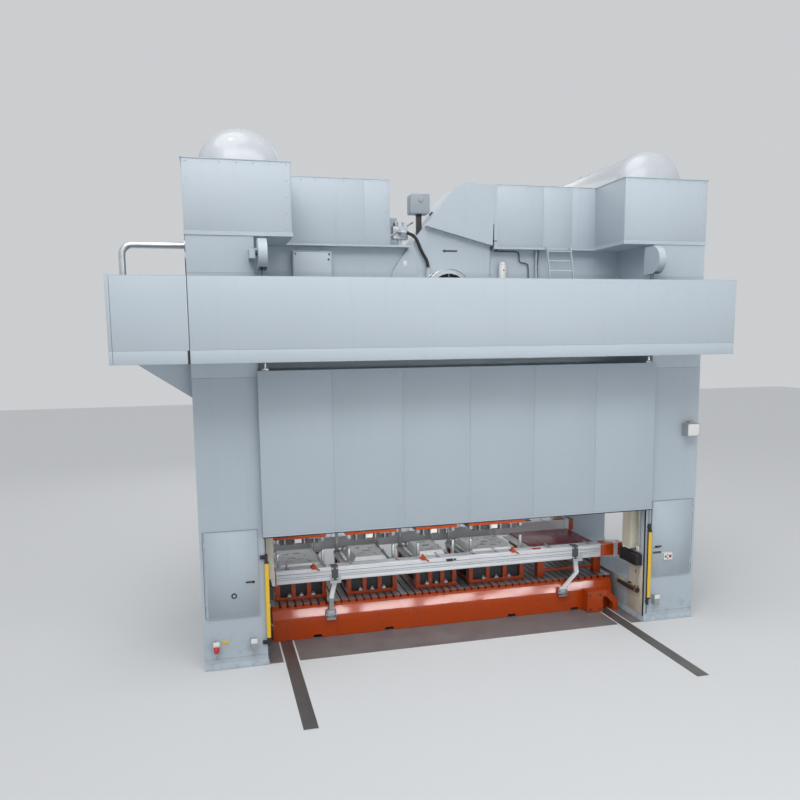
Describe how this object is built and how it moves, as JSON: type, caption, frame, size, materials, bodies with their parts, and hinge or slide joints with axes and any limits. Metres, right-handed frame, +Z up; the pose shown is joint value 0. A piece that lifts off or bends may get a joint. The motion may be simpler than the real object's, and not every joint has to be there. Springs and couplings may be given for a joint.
{
  "type": "link drive press",
  "caption": "Two-column link drive press with a rolling bolster, transfer rails, lifting front door and a geared lever drive in the crown.",
  "frame": {"origin": "middle of the bed's underside, below the middle of the bolster", "axes": "+Z up, +X to the operator's right, -Y towards the operator"},
  "size_m": [11.25, 6.96, 12.286],
  "materials": {
    "body_paint": "painted satin",
    "tank_paint": "painted gloss",
    "orange_paint": "painted gloss",
    "yellow_paint": "painted satin",
    "bare_steel": "machined",
    "dark_steel": "ground",
    "cast_iron": "cast and machined",
    "bronze": "machined",
    "rail_metal": "satin",
    "black_rubber": "matt",
    "black_paint": "painted matt",
    "red_plastic": "gloss",
    "grey_plastic": "satin"
  },
  "bodies": {
    "press_frame": {"bed": "body_paint", "left_column": "body_paint", "right_column": "body_paint", "crown": "body_paint", "tie_rods": "dark_steel", "roof_covers": "body_paint", "air_tanks": "tank_paint", "belt_hood": "body_paint", "clutch_guard": "body_paint", "drive_motor": "body_paint", "drive_belt": "black_rubber", "front_walkway": "body_paint", "crown_ladder": "body_paint", "crown_fittings": "body_paint", "light_curtains": "yellow_paint", "column_fittings": "grey_plastic", "air_pipe": "rail_metal", "air_hose": "black_rubber", "runway_rails": "dark_steel", "slide_gibs": "rail_metal", "crown_bushes": "bronze", "counterbalance_cylinders": "body_paint", "hoist_guards": "body_paint", "rail_drive_boxes": "black_paint", "door_ropes": "dark_steel"},
    "slide": {"slide": "body_paint", "plungers": "bare_steel", "upper_dies": "dark_steel"},
    "bolster": {"bolster": "orange_paint", "bolster_plate": "dark_steel", "lower_dies": "dark_steel", "part_stand": "orange_paint"},
    "front_bolster_wheels": {"front_bolster_wheels": "dark_steel"},
    "rear_bolster_wheels": {"rear_bolster_wheels": "dark_steel"},
    "front_rail_saddles": {"front_rail_saddles": "bare_steel"},
    "rear_rail_saddles": {"rear_rail_saddles": "bare_steel"},
    "front_transfer_rail": {"front_transfer_rail": "rail_metal"},
    "rear_transfer_rail": {"rear_transfer_rail": "rail_metal"},
    "front_rail_carriages": {"front_rail_carriages": "orange_paint"},
    "rear_rail_carriages": {"rear_rail_carriages": "orange_paint"},
    "front_door": {"front_door": "body_paint"},
    "hoist_drums": {"hoist_drums": "dark_steel"},
    "left_access_door": {"left_access_door": "body_paint"},
    "right_access_door": {"right_access_door": "body_paint"},
    "left_door_handle": {"left_door_handle": "black_paint"},
    "right_door_handle": {"right_door_handle": "black_paint"},
    "red_button": {"red_button": "red_plastic"},
    "left_crankshaft": {"left_crankshaft": "cast_iron"},
    "right_crankshaft": {"right_crankshaft": "cast_iron"},
    "left_idler": {"left_idler": "cast_iron"},
    "right_idler": {"right_idler": "cast_iron"},
    "drive_shaft": {"drive_shaft": "dark_steel"},
    "flywheel": {"flywheel": "cast_iron"},
    "motor_pulley": {"motor_pulley": "cast_iron"},
    "left_lever": {"left_lever": "cast_iron"},
    "right_lever": {"right_lever": "cast_iron"},
    "left_rod": {"left_rod": "cast_iron"},
    "right_rod": {"right_rod": "cast_iron"},
    "left_rocker": {"left_rocker": "cast_iron"},
    "right_rocker": {"right_rocker": "cast_iron"}
  },
  "joints": [
    {"name": "slide_stroke", "type": "slide", "parent": "press_frame", "child": "slide", "axis": [0, 0, 1], "range_m": [-0.4, 0.4]},
    {"name": "bolster_roll", "type": "slide", "parent": "press_frame", "child": "bolster", "axis": [0, -1, 0], "range_m": [0, 3.4]},
    {"name": "front_wheels_roll", "type": "hinge", "parent": "bolster", "child": "front_bolster_wheels", "pos_m": [0, -0.8, 2.9503], "axis": [1, 0, 0], "range_deg": [-5, 1305]},
    {"name": "rear_wheels_roll", "type": "hinge", "parent": "bolster", "child": "rear_bolster_wheels", "pos_m": [0, 0.8, 2.9503], "axis": [1, 0, 0], "range_deg": [-5, 1305]},
    {"name": "front_rail_clamp", "type": "slide", "parent": "bolster", "child": "front_rail_saddles", "axis": [0, 1, 0], "range_m": [0, 0.12]},
    {"name": "rear_rail_clamp", "type": "slide", "parent": "bolster", "child": "rear_rail_saddles", "axis": [0, -1, 0], "range_m": [0, 0.12]},
    {"name": "front_rail_lift", "type": "slide", "parent": "front_rail_saddles", "child": "front_transfer_rail", "axis": [0, 0, 1], "range_m": [0, 0.12]},
    {"name": "rear_rail_lift", "type": "slide", "parent": "rear_rail_saddles", "child": "rear_transfer_rail", "axis": [0, 0, 1], "range_m": [0, 0.12]},
    {"name": "front_carriage_clamp", "type": "slide", "parent": "press_frame", "child": "front_rail_carriages", "axis": [0, 1, 0], "range_m": [0, 0.12]},
    {"name": "rear_carriage_clamp", "type": "slide", "parent": "press_frame", "child": "rear_rail_carriages", "axis": [0, -1, 0], "range_m": [0, 0.12]},
    {"name": "front_door_lift", "type": "slide", "parent": "press_frame", "child": "front_door", "axis": [0, 0, 1], "range_m": [0, 1.35], "deforming": ["door_ropes"]},
    {"name": "hoist_drum_turn", "type": "hinge", "parent": "press_frame", "child": "hoist_drums", "pos_m": [0, -2.345, 10.09], "axis": [1, 0, 0], "range_deg": [-2, 600]},
    {"name": "left_access_door_hinge", "type": "hinge", "parent": "press_frame", "child": "left_access_door", "pos_m": [-4.892, -2.1403, 4.5], "axis": [0, 0, -1], "range_deg": [0, 110]},
    {"name": "right_access_door_hinge", "type": "hinge", "parent": "press_frame", "child": "right_access_door", "pos_m": [4.892, -2.1403, 4.5], "axis": [0, 0, 1], "range_deg": [0, 110]},
    {"name": "left_handle_turn", "type": "hinge", "parent": "left_access_door", "child": "left_door_handle", "pos_m": [-4.055, -2.15, 4.38], "axis": [0, 1, 0], "range_deg": [0, 90]},
    {"name": "right_handle_turn", "type": "hinge", "parent": "right_access_door", "child": "right_door_handle", "pos_m": [4.055, -2.15, 4.38], "axis": [0, -1, 0], "range_deg": [0, 90]},
    {"name": "red_button_press", "type": "slide", "parent": "right_access_door", "child": "red_button", "axis": [0, 1, 0], "range_m": [0, 0.006], "stiffness_N_per_m": 400},
    {"name": "left_crank_turn", "type": "hinge", "parent": "press_frame", "child": "left_crankshaft", "pos_m": [-1.75, 0, 9.97434], "axis": [0, -1, 0], "range_deg": [-56.37, 56.37]},
    {"name": "right_crank_turn", "type": "hinge", "parent": "press_frame", "child": "right_crankshaft", "pos_m": [1.75, 0, 9.97434], "axis": [0, -1, 0], "range_deg": [-56.37, 56.37]},
    {"name": "left_idler_turn", "type": "hinge", "parent": "press_frame", "child": "left_idler", "pos_m": [-0.375, 0, 9.97434], "axis": [0, -1, 0], "range_deg": [-149.99, 149.99]},
    {"name": "right_idler_turn", "type": "hinge", "parent": "press_frame", "child": "right_idler", "pos_m": [0.375, 0, 9.97434], "axis": [0, -1, 0], "range_deg": [-149.99, 149.99]},
    {"name": "drive_shaft_turn", "type": "hinge", "parent": "press_frame", "child": "drive_shaft", "pos_m": [-0.15, 0, 9.5], "axis": [0, -1, 0], "range_deg": [-374.68, 374.68]},
    {"name": "flywheel_spin", "type": "hinge", "parent": "press_frame", "child": "flywheel", "pos_m": [-0.15, -0.62, 9.5], "axis": [0, -1, 0], "continuous": true},
    {"name": "motor_spin", "type": "hinge", "parent": "press_frame", "child": "motor_pulley", "pos_m": [0.466, -0.62, 11.166], "axis": [0, -1, 0], "continuous": true},
    {"name": "left_lever_swing", "type": "hinge", "parent": "left_crankshaft", "child": "left_lever", "pos_m": [-1.64, 0, 9.97434], "axis": [0, -1, 0], "range_deg": [-76.01, 76.01]},
    {"name": "right_lever_swing", "type": "hinge", "parent": "right_crankshaft", "child": "right_lever", "pos_m": [1.64, 0, 9.97434], "axis": [0, -1, 0], "range_deg": [-76.01, 76.01]},
    {"name": "left_rod_swing", "type": "hinge", "parent": "left_lever", "child": "left_rod", "pos_m": [-2.54, 0, 9.97434], "axis": [0, -1, 0], "range_deg": [-19.84, 19.84]},
    {"name": "right_rod_swing", "type": "hinge", "parent": "right_lever", "child": "right_rod", "pos_m": [2.54, 0, 9.97434], "axis": [0, -1, 0], "range_deg": [-19.84, 19.84]},
    {"name": "left_rocker_swing", "type": "hinge", "parent": "left_lever", "child": "left_rocker", "pos_m": [-1.345, 0, 9.97434], "axis": [0, -1, 0], "range_deg": [-19.84, 19.84]},
    {"name": "right_rocker_swing", "type": "hinge", "parent": "right_lever", "child": "right_rocker", "pos_m": [1.345, 0, 9.97434], "axis": [0, -1, 0], "range_deg": [-19.84, 19.84]}
  ],
  "couplings": [
    {"joint": "front_wheels_roll", "follows": "bolster_roll", "rad_per_m": 6.6667},
    {"joint": "rear_wheels_roll", "follows": "bolster_roll", "rad_per_m": 6.6667},
    {"joint": "rear_rail_clamp", "follows": "front_rail_clamp", "ratio": 1},
    {"joint": "front_carriage_clamp", "follows": "front_rail_clamp", "ratio": 1},
    {"joint": "rear_carriage_clamp", "follows": "front_rail_clamp", "ratio": 1},
    {"joint": "rear_rail_lift", "follows": "front_rail_lift", "ratio": 1},
    {"joint": "hoist_drum_turn", "follows": "front_door_lift", "rad_per_m": 7.6923},
    {"joint": "left_crank_turn", "follows": "slide_stroke", "rad_per_m": 2.451},
    {"joint": "right_crank_turn", "follows": "slide_stroke", "rad_per_m": -2.451},
    {"joint": "left_idler_turn", "follows": "slide_stroke", "rad_per_m": -6.5359},
    {"joint": "right_idler_turn", "follows": "slide_stroke", "rad_per_m": 6.5359},
    {"joint": "drive_shaft_turn", "follows": "slide_stroke", "rad_per_m": 16.34},
    {"joint": "motor_spin", "follows": "flywheel_spin", "ratio": 2.8333},
    {"joint": "left_lever_swing", "follows": "slide_stroke", "rad_per_m": -3.3078},
    {"joint": "right_lever_swing", "follows": "slide_stroke", "rad_per_m": 3.3078},
    {"joint": "left_rod_swing", "follows": "slide_stroke", "rad_per_m": 0.85686},
    {"joint": "right_rod_swing", "follows": "slide_stroke", "rad_per_m": -0.85686},
    {"joint": "left_rocker_swing", "follows": "slide_stroke", "rad_per_m": 0.85686},
    {"joint": "right_rocker_swing", "follows": "slide_stroke", "rad_per_m": -0.85686}
  ]
}
